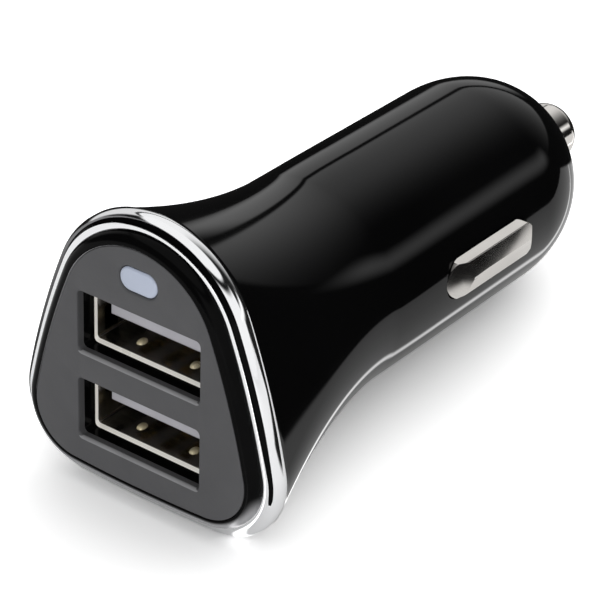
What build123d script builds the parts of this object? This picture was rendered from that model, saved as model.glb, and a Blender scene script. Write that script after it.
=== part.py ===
# Car charger plug with two USB sockets, a flared housing and sprung contacts, in millimetres.
# Y runs along the plug from the face (-Y) to the tip (+Y) and Z is up. The origin is on the
# plug axis, where the flare ends and the straight barrel begins.
from build123d import *
from math import cos, radians, sin
import os

os.makedirs("parts", exist_ok=True)

# Barrel and nose
barrel_radius = 10.2
barrel_draft = 0.1  # radius lost between the seat and the nose
seat_length = 6.0  # true cylinder next to the flare
barrel_length = 23.4
nose_length = 9.55
nose_flat_radius = 3.6
housing_wall = 1.5

# Face outline: six tangent arcs, measured at the edge of the face plate
face_to_seat = 23.0
face_top = 13.15
top_radius = 8.1
side_radius = 73.0
corner_radius = 5.8
side_upper_angle = 22.0
side_lower_angle = 12.1
bottom_half_angle = 5.0

# Rim, trim ring and mouth, as growth of the face outline and depth behind the face
rim_grow = 1.1
rim_depth = 1.0
rim_round = 0.95
trim_grow = 2.42
trim_depth = 1.72
trim_round = 1.2
mouth_grow = 2.35
flare_power = 1.65  # how fast the outline shrinks from the mouth to the barrel
groove_grow = 1.7
groove_depth = 1.12
groove_width = 0.33
groove_end_z = -6.4
plate_thickness = 0.8
cover_thickness = 1.9
skirt_depth = 3.0
skirt_wall = 1.2
assembly_fit = 0.05

# USB sockets
port_pitch = 8.5
port_mid_z = -0.05
port_corner = 0.45
port_chamfer = 0.28
shell_width = 13.1
shell_height = 5.72
shell_corner = 0.6
shell_wall = 0.3
shell_length = 13.8
shell_setback = 1.9
shell_gap = 0.05
foot_length = 1.6
foot_inset = 2.0
bump_radius = 0.9
bump_height = 0.4
bump_taper = 40
bump_pitch = 5.8
bump_setback = 2.1
tongue_side_gap = 0.9
tongue_thickness = 1.84
tongue_lift = 2.35
tongue_setback = 0.7
tongue_chamfer = 0.3
insulator_depth = 4.6
contact_width = 1.0
contact_thickness = 0.25
contact_sunk = 0.1
contact_setback = 1.2
contact_offsets = (-3.5, -1.0, 1.0, 3.5)

# Lamp and its window
window_z = 10.25
window_width = 3.95
window_height = 2.2
window_flange = 0.45
window_flange_depth = 0.7
window_round = 0.15
lamp_z = 9.9
lamp_radius = 1.45
lamp_length = 3.2
lamp_gap = 0.2
lamp_leg_radius = 0.25
lamp_leg_pitch = 1.27
lamp_leg_bend = 0.8
lamp_leg_slope = 3.0
lamp_leg_clearance = 0.9

# Circuit board and what stands on it
board_thickness = 1.6
board_half_width = 7.9
board_neck_half_width = 3.6
board_front_gap = 7.0
board_neck_y = 5.4
board_end_y = 19.0
rail_length = 5.0
rail_height = 1.0
rail_reach = 2.2
rail_root = 0.6  # how far a rail sinks into the housing wall
choke_radius = 3.6
choke_flange = 0.9
choke_waist = 0.7
choke_x = -3.0
part_gap = 0.5  # from a tall part to the housing
parts_y = 0.0  # middle of the row of parts on the wide end of the board
capacitor_radius = 2.5
capacitor_length = 7.0
capacitor_groove = 0.3
capacitor_x = 3.75
chip_width = 3.9
chip_length = 4.9
chip_height = 1.45
chip_lead_width = 0.4
chip_lead_pitch = 1.27
chip_lead_reach = 1.05
chip_lead_thickness = 0.2
chip_x = -3.9
diode_width = 2.6
diode_length = 4.3
diode_height = 2.2
diode_y = 9.1
diode_taper = 5

# Tip contact, its spring and sleeve
tip_radius = 2.95
tip_reach = 6.35  # how far it stands out of the nose
tip_round = 0.8
tip_fit = 0.08
tip_flange_radius = 4.3
tip_flange_thickness = 1.2
tip_stop_gap = 0.05
nose_land = 2.55
nose_inner_radius = 5.3
sleeve_fit = 0.1
sleeve_wall = 0.7
tip_wire_radius = 0.3
tip_coil_radius = 3.2
tip_coil_pitch = 1.9
terminal_thickness = 0.6
terminal_tab_width = 2.4
terminal_tab_length = 3.5
terminal_tab_thickness = 0.4

# Side contacts, their springs and bracket
side_length = 12.4
side_height = 3.9
side_mid_y = 13.2
side_mid_z = 0.5
side_reach = 0.9  # crown above the barrel
side_sunk = 0.4  # where the sloping walls start, below the barrel
side_wall_lean = 0.06
side_ridge_rise = 0.3
side_ridge_round = 1.0
side_ramp_front = 2.9
side_ramp_back = 1.5
side_ramp_rise = 1.05
side_ramp_round = 1.0
side_edge_round = 0.15
side_sheet = 0.45
side_fit = 0.15
side_flange_margin = 0.7
side_flange_thickness = 0.5
side_stop_gap = 0.12
side_wire_radius = 0.2
side_coil_radius = 1.3
side_coil_pitch = 1.2
bracket_sheet = 0.5
bracket_length = 8.0
bracket_height = 5.4
bracket_gap = 0.6
bracket_foot = 1.4

# Stations along the axis
face_y = -face_to_seat
plate_back_y = face_y + plate_thickness
cover_back_y = plate_back_y + cover_thickness
rim_back_y = face_y + rim_depth
mouth_y = rim_back_y + trim_depth
skirt_end_y = mouth_y + skirt_depth
nose_radius = barrel_radius - barrel_draft
nose_end_y = barrel_length + nose_length
shoulder_y = nose_end_y - nose_land
inner_radius = barrel_radius - housing_wall
flare_steps = (1.0, 0.8, 0.6, 0.4, 0.2, 0.08, 0.0)
port_width = shell_width + 2 * shell_gap
port_height = shell_height + 2 * shell_gap
shell_front_y = face_y + shell_setback
shell_back_y = shell_front_y + shell_length
upper_port_z = port_mid_z + port_pitch / 2
lower_port_z = port_mid_z - port_pitch / 2
board_top = port_mid_z + board_thickness / 2
board_bottom = board_top - board_thickness


def heading(angle):
    return Vector(cos(radians(angle)), sin(radians(angle)))


def station(y):
    # A plane across the plug at y, with X to the right and Z up
    return Plane.XZ.offset(-y)


# Arc centres of the face outline, each tangent to the next
bottom_angle = bottom_half_angle - 90
top_centre = Vector(0, face_top - top_radius)
side_centre = top_centre - heading(side_upper_angle) * (side_radius - top_radius)
corner_centre = side_centre + heading(side_lower_angle) * (side_radius - corner_radius)
bottom_radius = corner_radius + corner_centre.X / cos(radians(bottom_angle))
bottom_centre = corner_centre - heading(bottom_angle) * (bottom_radius - corner_radius)
side_sweep = side_upper_angle - side_lower_angle
corner_sweep = side_lower_angle - bottom_angle
outline_arcs = (
    (top_centre.X, top_centre.Y, top_radius, side_upper_angle, 180 - 2 * side_upper_angle),
    (-side_centre.X, side_centre.Y, side_radius, 180 - side_upper_angle, side_sweep),
    (-corner_centre.X, corner_centre.Y, corner_radius, 180 - side_lower_angle, corner_sweep),
    (bottom_centre.X, bottom_centre.Y, bottom_radius, 180 - bottom_angle, 2 * bottom_half_angle),
    (corner_centre.X, corner_centre.Y, corner_radius, bottom_angle, corner_sweep),
    (side_centre.X, side_centre.Y, side_radius, side_lower_angle, side_sweep),
)


def body_section(y, share, inset):
    # Blend of the mouth outline (share 1) and the barrel circle (share 0), moved in by inset
    with BuildSketch(station(y)) as section:
        with BuildLine():
            for x, z, radius, start, sweep_angle in outline_arcs:
                blended = share * (radius + mouth_grow) + (1 - share) * barrel_radius
                CenterArc((share * x, share * z), blended - inset, start, sweep_angle)
        make_face()
    return section.sketch


def face_section(y, grow):
    return body_section(y, 1.0, mouth_grow - grow)


def flare_section(y, inset):
    return body_section(y, (y / mouth_y) ** flare_power, inset)


def port_openings():
    return Locations((0, upper_port_z), (0, lower_port_z))


def write(builder, name):
    builder.part.label = name
    export_step(builder.part, f"parts/{name}.step")


# Housing: flare, barrel and nose, hollow, with a bore for the tip and a slot for each side contact
rail_mid_x = inner_radius + rail_root - rail_reach / 2
slot_length = side_length + 2 * side_fit
slot_height = side_height + 2 * side_fit
with BuildPart() as housing:
    loft([flare_section(mouth_y * step, 0) for step in flare_steps])
    with BuildSketch():
        with BuildLine():
            Polyline((0, 0), (barrel_radius, 0), (barrel_radius, seat_length), (nose_radius, barrel_length))
            EllipticalCenterArc(
                (nose_flat_radius, barrel_length), nose_radius - nose_flat_radius, nose_length, 0, arc_size=90
            )
            Polyline((nose_flat_radius, nose_end_y), (0, nose_end_y), (0, 0))
        make_face()
    revolve(axis=Axis.Y)
    loft([flare_section(mouth_y * step, housing_wall) for step in flare_steps], mode=Mode.SUBTRACT)
    with BuildSketch():
        with BuildLine():
            Polyline((0, 0), (inner_radius, 0), (inner_radius - barrel_draft, barrel_length))
            EllipticalCenterArc(
                (nose_inner_radius, barrel_length),
                inner_radius - barrel_draft - nose_inner_radius,
                shoulder_y - barrel_length,
                0,
                arc_size=90,
            )
            Polyline((nose_inner_radius, shoulder_y), (0, shoulder_y), (0, 0))
        make_face()
    revolve(axis=Axis.Y, mode=Mode.SUBTRACT)
    with BuildSketch(station(nose_end_y)):
        Circle(tip_radius + tip_fit)
    extrude(amount=nose_land, mode=Mode.SUBTRACT)
    with BuildSketch(Plane.YZ):
        with Locations((side_mid_y, side_mid_z)):
            SlotOverall(slot_length, slot_height)
    extrude(amount=2 * barrel_radius, both=True, mode=Mode.SUBTRACT)
    # Rails that hold the board by its edges
    for rail_z in (board_top + assembly_fit, board_bottom - assembly_fit - rail_height):
        for rail_side in (-1, 1):
            with BuildSketch(Plane.XY.offset(rail_z)):
                with Locations((rail_side * rail_mid_x, 0)):
                    Rectangle(rail_reach, rail_length, align=(Align.CENTER, Align.MIN))
            extrude(amount=rail_height)
write(housing, "housing")

# Trim ring: quarter-round bead with a fine groove over the top and down both sides
with BuildPart() as trim_ring:
    extrude(face_section(rim_back_y, trim_grow), amount=-trim_depth)
    fillet(trim_ring.faces().sort_by(Axis.Y)[0].outer_wire().edges(), trim_round)
    extrude(face_section(rim_back_y, mouth_grow - housing_wall), amount=-trim_depth, mode=Mode.SUBTRACT)
    with BuildSketch(station(face_y + groove_depth)):
        add(face_section(face_y + groove_depth, trim_grow + groove_width))
        add(face_section(face_y + groove_depth, groove_grow), mode=Mode.SUBTRACT)
        with Locations((0, groove_end_z)):
            Rectangle(
                4 * barrel_radius,
                2 * barrel_radius,
                align=(Align.CENTER, Align.MAX),
                mode=Mode.SUBTRACT,
            )
    extrude(amount=-groove_width, mode=Mode.SUBTRACT)
write(trim_ring, "trim_ring")

# Front cover: rim over the ring, floor for the face plate, skirt inside the mouth
skirt_inset = housing_wall + assembly_fit
skirt_stations = (mouth_y, (mouth_y + skirt_end_y) / 2, skirt_end_y)
with BuildPart() as front_cover:
    extrude(face_section(face_y, rim_grow), amount=-rim_depth)
    fillet(front_cover.faces().sort_by(Axis.Y)[0].outer_wire().edges(), rim_round)
    extrude(face_section(rim_back_y, mouth_grow - skirt_inset), amount=-trim_depth)
    loft([flare_section(y, skirt_inset) for y in skirt_stations])
    loft([flare_section(y, skirt_inset + skirt_wall) for y in skirt_stations], mode=Mode.SUBTRACT)
    extrude(
        face_section(cover_back_y, mouth_grow - skirt_inset - skirt_wall),
        amount=cover_back_y - mouth_y,
        mode=Mode.SUBTRACT,
    )
    extrude(face_section(face_y, assembly_fit), amount=-plate_thickness, mode=Mode.SUBTRACT)
    with BuildSketch(station(plate_back_y)):
        with port_openings():
            RectangleRounded(port_width, port_height, port_corner)
        with Locations((0, window_z)):
            SlotOverall(window_width + 2 * assembly_fit, window_height + 2 * assembly_fit)
    extrude(amount=-(skirt_depth + trim_depth), mode=Mode.SUBTRACT)
write(front_cover, "front_cover")

# Face plate: inlay with the two socket openings and the window hole
with BuildPart() as face_plate:
    extrude(face_section(face_y, 0), amount=-plate_thickness)
    with BuildSketch(station(face_y)):
        with port_openings():
            RectangleRounded(port_width, port_height, port_corner)
        with Locations((0, window_z)):
            SlotOverall(window_width + 2 * assembly_fit, window_height + 2 * assembly_fit)
    extrude(amount=-plate_thickness, mode=Mode.SUBTRACT)
    plate_front = face_plate.faces().sort_by(Axis.Y)[0]
    port_wires = plate_front.inner_wires().sort_by(SortBy.LENGTH)[-2:]
    chamfer([edge for wire in port_wires for edge in wire.edges()], port_chamfer)
write(face_plate, "face_plate")

# Lamp window: oblong light guide held by a flange behind the cover
with BuildPart() as lamp_window:
    with BuildSketch(station(face_y)):
        with Locations((0, window_z)):
            SlotOverall(window_width, window_height)
    extrude(amount=face_y - cover_back_y)
    fillet(lamp_window.faces().sort_by(Axis.Y)[0].edges(), window_round)
    with BuildSketch(station(cover_back_y)):
        with Locations((0, window_z)):
            SlotOverall(window_width + 2 * window_flange, window_height + 2 * window_flange)
    extrude(amount=-window_flange_depth)
write(lamp_window, "lamp_window")

# USB receptacles: one on top of the board, one of the reversed kind below it
inner_width = shell_width - 2 * shell_wall
inner_height = shell_height - 2 * shell_wall
block_width = inner_width - 2 * assembly_fit
block_height = inner_height - 2 * assembly_fit
block_front_y = shell_back_y - insulator_depth
tongue_width = inner_width - 2 * tongue_side_gap
tongue_front_y = shell_front_y + tongue_setback
contact_front_y = tongue_front_y + contact_setback
contact_length = shell_back_y - contact_front_y + contact_thickness
for place, port_z, board_face in (
    ("upper", upper_port_z, board_top),
    ("lower", lower_port_z, board_bottom),
):
    floor_z = port_z - inner_height / 2
    tongue_bottom = floor_z + tongue_lift
    with BuildPart() as usb_shell:
        with BuildSketch(station(shell_front_y)):
            with Locations((0, port_z)):
                RectangleRounded(shell_width, shell_height, shell_corner)
                RectangleRounded(inner_width, inner_height, shell_corner - shell_wall, mode=Mode.SUBTRACT)
        extrude(amount=-shell_length)
        with BuildSketch(Plane.XY.offset(board_face)):
            with Locations((0, (shell_front_y + shell_back_y) / 2)):
                with GridLocations(shell_width - shell_wall, shell_length - 2 * foot_inset, 2, 2):
                    Rectangle(shell_wall, foot_length)
        extrude(amount=port_z - board_face)
        # Bumps of the spring fingers that hold a plug
        with BuildSketch(Plane.XY.offset(floor_z)):
            with Locations((0, shell_front_y + bump_setback)):
                with GridLocations(bump_pitch, 0, 2, 1):
                    Circle(bump_radius)
        extrude(amount=bump_height, taper=bump_taper)
    write(usb_shell, f"usb_shell_{place}")

    contact_top = tongue_bottom + contact_sunk
    contact_mid_y = contact_front_y + contact_length / 2
    tail_y = shell_back_y + contact_thickness / 2
    with BuildPart() as usb_contacts:
        with Locations(*[(x, contact_mid_y, contact_top) for x in contact_offsets]):
            Box(
                contact_width,
                contact_length,
                contact_thickness,
                align=(Align.CENTER, Align.CENTER, Align.MAX),
            )
        with BuildSketch(Plane.XY.offset(board_face)):
            with Locations(*[(x, tail_y) for x in contact_offsets]):
                Rectangle(contact_width, contact_thickness)
        extrude(amount=contact_top - contact_thickness / 2 - board_face)
    write(usb_contacts, f"usb_contacts_{place}")

    with BuildPart() as usb_insulator:
        with BuildSketch(station(block_front_y)):
            with Locations((0, port_z)):
                RectangleRounded(block_width, block_height, shell_corner - shell_wall)
        extrude(amount=-insulator_depth)
        with BuildSketch(station(tongue_front_y)):
            with Locations((0, tongue_bottom)):
                Rectangle(tongue_width, tongue_thickness, align=(Align.CENTER, Align.MIN))
        extrude(amount=tongue_front_y - block_front_y)
        chamfer(usb_insulator.faces().sort_by(Axis.Y)[0].edges(), tongue_chamfer)
        add(usb_contacts.part, mode=Mode.SUBTRACT)
    write(usb_insulator, f"usb_insulator_{place}")

# Circuit board: wide between the rails, narrow between the side springs
board_front_y = face_y + board_front_gap
with BuildPart() as circuit_board:
    with BuildSketch(Plane.XY.offset(board_bottom)):
        with Locations((0, board_front_y)):
            Rectangle(2 * board_half_width, board_neck_y - board_front_y, align=(Align.CENTER, Align.MIN))
        with Locations((0, board_neck_y)):
            Rectangle(2 * board_neck_half_width, board_end_y - board_neck_y, align=(Align.CENTER, Align.MIN))
    extrude(amount=board_thickness)
write(circuit_board, "circuit_board")

# Status lamp: domed body behind the window, on two legs that step over the upper socket
lamp_front_y = cover_back_y + window_flange_depth + lamp_gap
lamp_back_y = lamp_front_y + lamp_length
leg_z = upper_port_z + shell_height / 2 + lamp_leg_clearance
leg_drop_y = shell_back_y + 2 * lamp_leg_clearance
with BuildPart() as status_lamp:
    with BuildSketch(Plane.YZ):
        with BuildLine():
            Polyline((lamp_front_y + lamp_radius, lamp_z), (lamp_back_y, lamp_z))
            Line((lamp_back_y, lamp_z), (lamp_back_y, lamp_z + lamp_radius))
            Line((lamp_back_y, lamp_z + lamp_radius), (lamp_front_y + lamp_radius, lamp_z + lamp_radius))
            CenterArc((lamp_front_y + lamp_radius, lamp_z), lamp_radius, 90, 90)
            Line((lamp_front_y, lamp_z), (lamp_front_y + lamp_radius, lamp_z))
        make_face()
    revolve(axis=Axis((0, 0, lamp_z), (0, 1, 0)))
    for leg_x in (-lamp_leg_pitch / 2, lamp_leg_pitch / 2):
        with BuildLine() as leg:
            FilletPolyline(
                (leg_x, lamp_back_y - lamp_leg_bend, lamp_z),
                (leg_x, lamp_back_y + lamp_leg_bend, lamp_z),
                (leg_x, lamp_back_y + lamp_leg_bend + lamp_leg_slope, leg_z),
                (leg_x, leg_drop_y, leg_z),
                (leg_x, leg_drop_y, board_top),
                radius=lamp_leg_bend,
            )
        with BuildSketch(Plane(origin=leg.line @ 0, z_dir=leg.line % 0)):
            Circle(lamp_leg_radius)
        sweep(path=leg.line)
write(status_lamp, "status_lamp")

# Choke: drum core with its winding space between two flanges, as tall as the housing allows
choke_reach = abs(choke_x) + choke_radius
choke_height = ((inner_radius - part_gap) ** 2 - choke_reach**2) ** 0.5 - board_top
with BuildPart() as choke:
    with BuildSketch(Plane.XY.offset(board_top)):
        with Locations((choke_x, parts_y)):
            Circle(choke_radius)
    extrude(amount=choke_height)
    with BuildSketch(Plane.XY.offset(board_top + choke_flange)):
        with Locations((choke_x, parts_y)):
            Circle(choke_radius)
            Circle(choke_radius - choke_waist, mode=Mode.SUBTRACT)
    extrude(amount=choke_height - 2 * choke_flange, mode=Mode.SUBTRACT)
write(choke, "choke")

# Electrolytic capacitors lying along the board, one on each face
for name, side in (("input_capacitor", 1), ("output_capacitor", -1)):
    axis_z = board_top + capacitor_radius if side > 0 else board_bottom - capacitor_radius
    start_y = parts_y - capacitor_length / 2
    with BuildPart() as capacitor:
        with BuildSketch(station(start_y)):
            with Locations((capacitor_x, axis_z)):
                Circle(capacitor_radius)
        extrude(amount=-capacitor_length)
        with BuildSketch(station(start_y + capacitor_groove)):
            with Locations((capacitor_x, axis_z)):
                Circle(capacitor_radius)
                Circle(capacitor_radius - capacitor_groove, mode=Mode.SUBTRACT)
        extrude(amount=-2 * capacitor_groove, mode=Mode.SUBTRACT)
    write(capacitor, name)

# Regulator chip under the board, with a row of leads on each side
with BuildPart() as regulator_chip:
    with BuildSketch(Plane.XY.offset(board_bottom - chip_lead_thickness)):
        with Locations((chip_x, parts_y)):
            Rectangle(chip_width, chip_length)
    extrude(amount=-chip_height)
    with BuildSketch(Plane.XY.offset(board_bottom)):
        with Locations((chip_x, parts_y)):
            with GridLocations(0, chip_lead_pitch, 1, 4):
                Rectangle(chip_width + 2 * chip_lead_reach, chip_lead_width)
    extrude(amount=-chip_lead_thickness)
write(regulator_chip, "regulator_chip")

# Flyback diode on the narrow end of the board
with BuildPart() as flyback_diode:
    with BuildSketch(Plane.XY.offset(board_bottom)):
        with Locations((0, diode_y)):
            Rectangle(diode_width, diode_length)
    extrude(amount=-diode_height, taper=diode_taper)
write(flyback_diode, "flyback_diode")

# Tip contact: rounded pin with a flange that stops inside the nose
flange_front_y = shoulder_y - tip_stop_gap
flange_back_y = flange_front_y - tip_flange_thickness
tip_end_y = nose_end_y + tip_reach
with BuildPart() as tip_contact:
    with BuildSketch(station(flange_back_y)):
        Circle(tip_flange_radius)
    extrude(amount=-tip_flange_thickness)
    with BuildSketch(station(flange_front_y)):
        Circle(tip_radius)
    extrude(amount=flange_front_y - tip_end_y)
    fillet(tip_contact.faces().sort_by(Axis.Y)[-1].edges(), tip_round)
write(tip_contact, "tip_contact")

# Tip terminal: spring seat with a tab that is soldered to the board
terminal_y = board_end_y
terminal_radius = tip_flange_radius
with BuildPart() as tip_terminal:
    with BuildSketch(station(terminal_y)):
        Circle(terminal_radius)
    extrude(amount=-terminal_thickness)
    with BuildSketch(Plane.XY.offset(board_top)):
        with Locations((0, terminal_y)):
            Rectangle(terminal_tab_width, terminal_tab_length, align=(Align.CENTER, Align.MAX))
    extrude(amount=terminal_tab_thickness)
write(tip_terminal, "tip_terminal")

# Tip sleeve: insulating guide from the terminal to the shoulder of the nose
sleeve_radius = tip_flange_radius + sleeve_fit
with BuildPart() as tip_sleeve:
    with BuildSketch(station(terminal_y)):
        Circle(sleeve_radius + sleeve_wall)
        Circle(sleeve_radius, mode=Mode.SUBTRACT)
    extrude(amount=terminal_y - shoulder_y)
write(tip_sleeve, "tip_sleeve")

# Tip spring between the terminal and the flange
spring_start_y = terminal_y + terminal_thickness + tip_wire_radius
spring_end_y = flange_back_y - tip_wire_radius
with BuildPart() as tip_spring:
    with BuildLine() as coil:
        Helix(
            tip_coil_pitch,
            spring_end_y - spring_start_y,
            tip_coil_radius,
            center=(0, spring_start_y, 0),
            direction=(0, 1, 0),
        )
    with BuildSketch(Plane(origin=coil.line @ 0, z_dir=coil.line % 0)):
        Circle(tip_wire_radius)
    sweep(path=coil.line, is_frenet=True)
write(tip_spring, "tip_spring")

# Side contacts: pressed metal shoes with sloping walls, a ridge along the middle, a long front ramp,
# a hollow back and a flange that stops inside the barrel wall. Each has a coil spring and a shared
# folded bracket behind it.
crown_x = barrel_radius + side_reach
edge_x = crown_x - side_ridge_rise
slope_x = barrel_radius - side_sunk
hollow_x = edge_x - side_sheet
flange_half = side_mid_z + side_height / 2 + side_flange_margin
flange_x = (inner_radius**2 - flange_half**2) ** 0.5 - side_stop_gap
flange_inner_x = flange_x - side_flange_thickness
front_y = side_mid_y - side_length / 2
back_y = side_mid_y + side_length / 2
low_z = side_mid_z - side_height / 2
high_z = side_mid_z + side_height / 2
wing_x = board_neck_half_width + bracket_gap


def shoe_outline(x, grow):
    with BuildSketch(Plane.YZ.offset(x)) as outline:
        with Locations((side_mid_y, side_mid_z)):
            SlotOverall(side_length + 2 * grow, side_height + 2 * grow)
    return outline.sketch


for place, side in (("left", -1), ("right", 1)):
    with BuildPart() as side_contact:
        extrude(shoe_outline(flange_inner_x, 0), amount=crown_x - flange_inner_x)
        # Ramps at both ends
        with BuildSketch(Plane.XY.offset(side_mid_z)) as ramps:
            with BuildLine():
                Polyline(
                    (flange_inner_x, front_y),
                    (crown_x - side_ramp_rise, front_y),
                    (crown_x, front_y + side_ramp_front),
                    (crown_x, back_y - side_ramp_back),
                    (crown_x - side_ramp_rise, back_y),
                    (flange_inner_x, back_y),
                    close=True,
                )
            make_face()
            fillet(ramps.vertices().sort_by(Axis.X)[-2:], side_ramp_round)
        extrude(amount=side_height, both=True, mode=Mode.INTERSECT)
        # Sloping walls and the ridge along the middle of the outer face
        with BuildSketch(station(front_y)) as ridge:
            with BuildLine():
                Polyline(
                    (flange_inner_x, low_z),
                    (slope_x, low_z),
                    (edge_x, low_z + side_wall_lean),
                    (crown_x, side_mid_z),
                    (edge_x, high_z - side_wall_lean),
                    (slope_x, high_z),
                    (flange_inner_x, high_z),
                    close=True,
                )
            make_face()
            fillet(ridge.vertices().sort_by(Axis.X)[-1:], side_ridge_round)
            fillet(ridge.vertices().filter_by_position(Axis.X, edge_x, edge_x), side_edge_round)
        extrude(amount=-side_length, mode=Mode.INTERSECT)
        extrude(shoe_outline(flange_inner_x, side_flange_margin), amount=side_flange_thickness)
        with BuildSketch(Plane.YZ.offset(flange_inner_x)):
            with Locations((side_mid_y + (side_ramp_front - side_ramp_back) / 2, side_mid_z)):
                SlotOverall(side_length - side_ramp_front - side_ramp_back, side_height - 2 * side_sheet)
        extrude(amount=hollow_x - flange_inner_x, mode=Mode.SUBTRACT)
        if side < 0:
            mirror(about=Plane.YZ, mode=Mode.REPLACE)
    write(side_contact, f"side_contact_{place}")

    coil_y = side_mid_y + (side_ramp_front - side_ramp_back) / 2
    coil_start_x = wing_x + bracket_sheet + side_wire_radius
    coil_end_x = hollow_x - side_wire_radius
    with BuildPart() as side_spring:
        with BuildLine() as coil:
            Helix(
                side_coil_pitch,
                coil_end_x - coil_start_x,
                side_coil_radius,
                center=(side * coil_start_x, coil_y, side_mid_z),
                direction=(side, 0, 0),
            )
        with BuildSketch(Plane(origin=coil.line @ 0, z_dir=coil.line % 0)):
            Circle(side_wire_radius)
        sweep(path=coil.line, is_frenet=True)
    write(side_spring, f"side_spring_{place}")

# Ground bracket: folded strip over the board, with a wing behind each side spring
bracket_y = side_mid_y + (side_ramp_front - side_ramp_back) / 2
wing_outer_x = wing_x + bracket_sheet
with BuildPart() as ground_bracket:
    with BuildSketch(station(bracket_y - bracket_length / 2)):
        Rectangle(2 * wing_outer_x, bracket_height)
        with Locations((0, -bracket_sheet)):
            Rectangle(2 * wing_x, bracket_height, mode=Mode.SUBTRACT)
    extrude(amount=-bracket_length)
    with BuildSketch(Plane.XY.offset(board_top)):
        with Locations((0, bracket_y)):
            with GridLocations(2 * wing_x - bracket_foot, bracket_length - bracket_foot, 2, 2):
                Rectangle(bracket_foot, bracket_foot)
    extrude(amount=bracket_sheet)
write(ground_bracket, "ground_bracket")
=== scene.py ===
import math

import bmesh
import bpy
from mathutils import Matrix, Vector


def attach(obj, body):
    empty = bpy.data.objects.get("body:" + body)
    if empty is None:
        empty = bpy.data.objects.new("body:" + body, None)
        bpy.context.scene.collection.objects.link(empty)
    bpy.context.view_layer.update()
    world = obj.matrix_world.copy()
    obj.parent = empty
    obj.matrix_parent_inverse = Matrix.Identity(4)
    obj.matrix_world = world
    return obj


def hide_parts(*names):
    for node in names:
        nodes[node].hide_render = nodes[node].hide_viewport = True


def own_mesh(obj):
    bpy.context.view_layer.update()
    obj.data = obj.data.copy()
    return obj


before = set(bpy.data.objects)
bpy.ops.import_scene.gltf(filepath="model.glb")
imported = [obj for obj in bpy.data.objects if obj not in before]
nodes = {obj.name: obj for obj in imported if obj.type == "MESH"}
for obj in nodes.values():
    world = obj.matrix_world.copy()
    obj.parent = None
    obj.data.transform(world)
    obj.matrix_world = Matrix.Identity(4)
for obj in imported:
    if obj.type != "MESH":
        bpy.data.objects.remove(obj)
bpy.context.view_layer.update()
scene = bpy.context.scene
scene.view_settings.view_transform = "Standard"
mm = 0.001
weld = 1e-7  # points closer than this become one (metres)
print("frame loaded:", len(nodes), "nodes")

# the plug lies along Y: face at -23, flare ends at 0, tip at +39.3 (all in millimetres)
plug = {
    "faceY": -23.0,
    "mouthY": -20.28,
    "barrelRadius": 10.2,
    "noseRadius": 10.1,
    "seatLength": 6.0,
    "barrelLength": 23.4,
    "noseEndY": 32.95,
    "noseFlatRadius": 3.6,
    "boreRadius": 3.03,
    "wall": 1.5,
    "flarePower": 1.65,
    "mouthGrow": 2.35,
}

# face outline of six arcs: its top, their radii, the angles where one passes into the next (degrees)
# and how many points each has
faceShape = {
    "top": 13.15, "topRadius": 8.1, "sideRadius": 73.0, "cornerRadius": 4.4,
    "upper": 22.0, "lower": 11.8, "bottom": 3.0,
    "topPoints": 48, "sidePoints": 14, "cornerPoints": 38, "bottomPoints": 12,
}


def heading(angle):
    return Vector((math.cos(math.radians(angle)), math.sin(math.radians(angle))))


def faceArcs(f):
    # each arc as centre x, centre z, radius, start angle, sweep and points along it
    low = f["bottom"] - 90
    topC = Vector((0, f["top"] - f["topRadius"]))
    sideC = topC - heading(f["upper"]) * (f["sideRadius"] - f["topRadius"])
    cornerC = sideC + heading(f["lower"]) * (f["sideRadius"] - f["cornerRadius"])
    bottomR = f["cornerRadius"] + cornerC.x / math.cos(math.radians(low))
    bottomC = cornerC - heading(low) * (bottomR - f["cornerRadius"])
    sideSweep = f["upper"] - f["lower"]
    cornerSweep = f["lower"] - low
    return [
        (topC.x, topC.y, f["topRadius"], f["upper"], 180 - 2 * f["upper"], f["topPoints"]),
        (-sideC.x, sideC.y, f["sideRadius"], 180 - f["upper"], sideSweep, f["sidePoints"]),
        (-cornerC.x, cornerC.y, f["cornerRadius"], 180 - f["lower"], cornerSweep, f["cornerPoints"]),
        (bottomC.x, bottomC.y, bottomR, 180 - low, 2 * f["bottom"], f["bottomPoints"]),
        (cornerC.x, cornerC.y, f["cornerRadius"], low, cornerSweep, f["cornerPoints"]),
        (sideC.x, sideC.y, f["sideRadius"], f["lower"], sideSweep, f["sidePoints"]),
    ]


arcs = faceArcs(faceShape)


def bodyLoop(share, inset):
    # blend of the mouth outline (share 1) and the round barrel (share 0), moved in by inset
    pts = []
    for x, z, radius, start, sweep, count in arcs:
        r = share * (radius + plug["mouthGrow"]) + (1 - share) * plug["barrelRadius"] - inset
        for k in range(count):
            a = math.radians(start + sweep * k / count)
            pts.append((share * x + r * math.cos(a), share * z + r * math.sin(a)))
    return pts


def faceLoop(grow):
    return bodyLoop(1.0, plug["mouthGrow"] - grow)


def roundLoop(radius):
    return bodyLoop(0.0, plug["barrelRadius"] - radius)


def flareShare(y):
    return (y / plug["mouthY"]) ** plug["flarePower"]


def at(loop, y):
    return [(x, y, z) for x, z in loop]


def meshFrom(name, verts, faces, body, node, slotName, smooth, second=(), third=()):
    me = bpy.data.meshes.new(name)
    me.from_pydata([(x * mm, y * mm, z * mm) for x, y, z in verts], [], faces)
    for index, chosen in ((1, second), (2, third)):  # faces that wear another material
        for i in chosen:
            me.polygons[i].material_index = index
    me.validate()
    bm = bmesh.new()
    bm.from_mesh(me)
    bmesh.ops.remove_doubles(bm, verts=bm.verts, dist=weld)
    bmesh.ops.recalc_face_normals(bm, faces=bm.faces)
    bm.to_mesh(me)
    bm.free()
    obj = bpy.data.objects.new(name, me)
    scene.collection.objects.link(obj)
    shade(obj, smooth)
    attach(obj, body)
    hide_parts(node)
    return obj


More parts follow.
